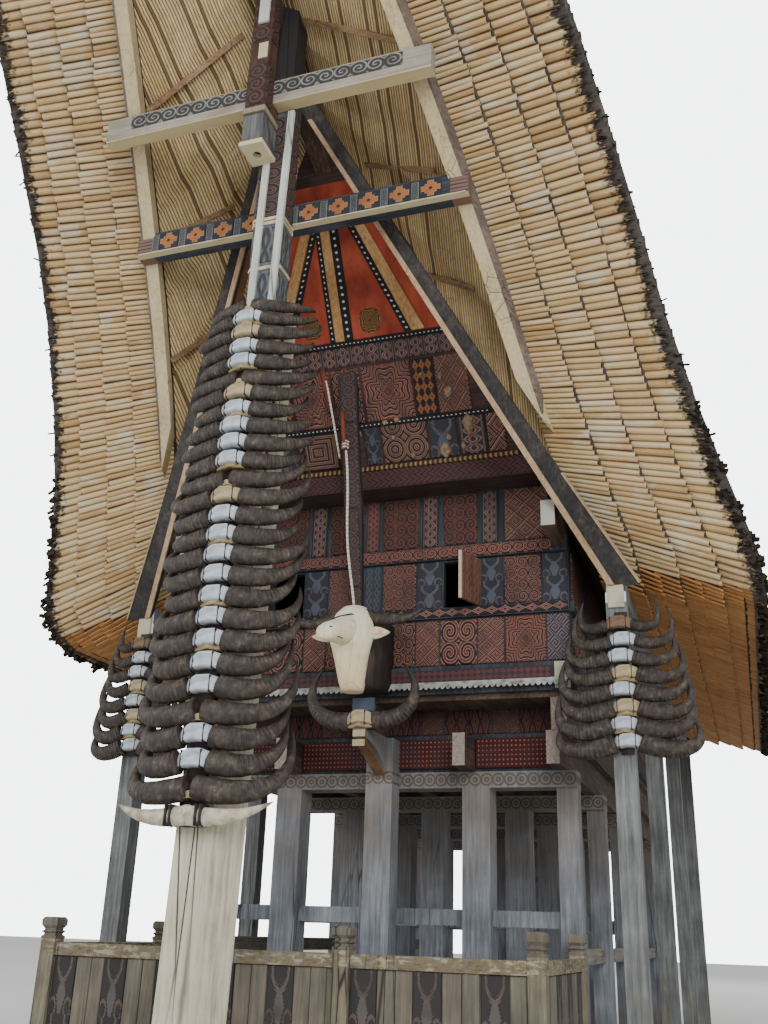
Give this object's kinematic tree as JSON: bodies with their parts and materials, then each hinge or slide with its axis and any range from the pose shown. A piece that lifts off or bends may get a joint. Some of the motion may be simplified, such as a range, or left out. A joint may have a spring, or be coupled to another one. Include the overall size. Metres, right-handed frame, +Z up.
{
  "type": "tongkonan house",
  "caption": "Raised timber house with a boat-shaped split-bamboo roof on posts, carved red gable, pale prow beams and a horn-hung post under the prow.",
  "frame": {"origin": "on the ground under the middle of the house", "axes": "+Z up, -Y out of the front gable with the horned post, +X to the right seen from the front"},
  "size_m": [6.96, 19.8, 10.6],
  "materials": {
    "weathered_timber": "weathered grey-blue, matt",
    "dark_timber": "dark brown, matt",
    "carved_red_timber": "carved and painted dark red, black and cream, matt",
    "blue_black_timber": "painted blue-black, matt",
    "pale_timber": "pale cream, matt",
    "grey_cream_timber": "grey cream, cracked, matt",
    "navy_timber": "dark blue with painted crosses, matt",
    "split_bamboo": "straw-coloured split bamboo, matt",
    "reed": "tan reeds, matt",
    "buffalo_horn": "ridged grey-brown horn",
    "painted_head": "cream paint with dark marks, matt",
    "fence_timber": "weathered grey-brown with lichen, matt"
  },
  "bodies": {
    "root": {"front_post_row": "weathered_timber", "second_post_row": "weathered_timber", "middle_post_row": "weathered_timber", "fourth_post_row": "weathered_timber", "rear_post_row": "weathered_timber", "centre_front_post": "weathered_timber", "left_long_tie": "weathered_timber", "right_long_tie": "weathered_timber", "right_eaves_frame": "weathered_timber", "left_eaves_frame": "weathered_timber", "centre_bearer": "dark_timber", "inner_left_bearer": "dark_timber", "inner_right_bearer": "dark_timber", "left_bearer": "dark_timber", "right_bearer": "dark_timber", "floor_frame": "dark_timber", "left_wall_plate": "dark_timber", "right_wall_plate": "dark_timber", "front_left_shutter": "dark_timber", "front_right_shutter": "dark_timber", "prow_block": "dark_timber", "ridge_beam": "dark_timber", "front_right_apron": "carved_red_timber", "front_left_apron": "carved_red_timber", "rear_right_apron": "carved_red_timber", "rear_left_apron": "carved_red_timber", "front_wall": "carved_red_timber", "rear_wall": "carved_red_timber", "left_wall": "carved_red_timber", "right_wall": "carved_red_timber", "front_gable": "carved_red_timber", "rear_gable": "carved_red_timber", "leaning_centre_post": "carved_red_timber", "front_barge_rafters": "blue_black_timber", "rear_barge_rafters": "blue_black_timber", "front_right_verge_rafter": "pale_timber", "front_left_verge_rafter": "pale_timber", "rear_right_verge_rafter": "pale_timber", "rear_left_verge_rafter": "pale_timber", "front_upper_crossbeam": "grey_cream_timber", "rear_upper_crossbeam": "grey_cream_timber", "front_prow_post": "grey_cream_timber", "rear_prow_post": "grey_cream_timber", "front_lower_crossbeam": "navy_timber", "rear_lower_crossbeam": "navy_timber", "front_right_roof": "split_bamboo", "front_left_roof": "split_bamboo", "middle_right_roof": "split_bamboo", "middle_left_roof": "split_bamboo", "rear_right_roof": "split_bamboo", "rear_left_roof": "split_bamboo", "front_soffit": "reed", "rear_soffit": "reed", "prow_post_horns": "buffalo_horn", "right_post_horns": "buffalo_horn", "left_post_horns": "buffalo_horn", "lower_horns": "buffalo_horn", "buffalo_head": "painted_head", "porch_fence": "fence_timber"}
  },
  "joints": []
}
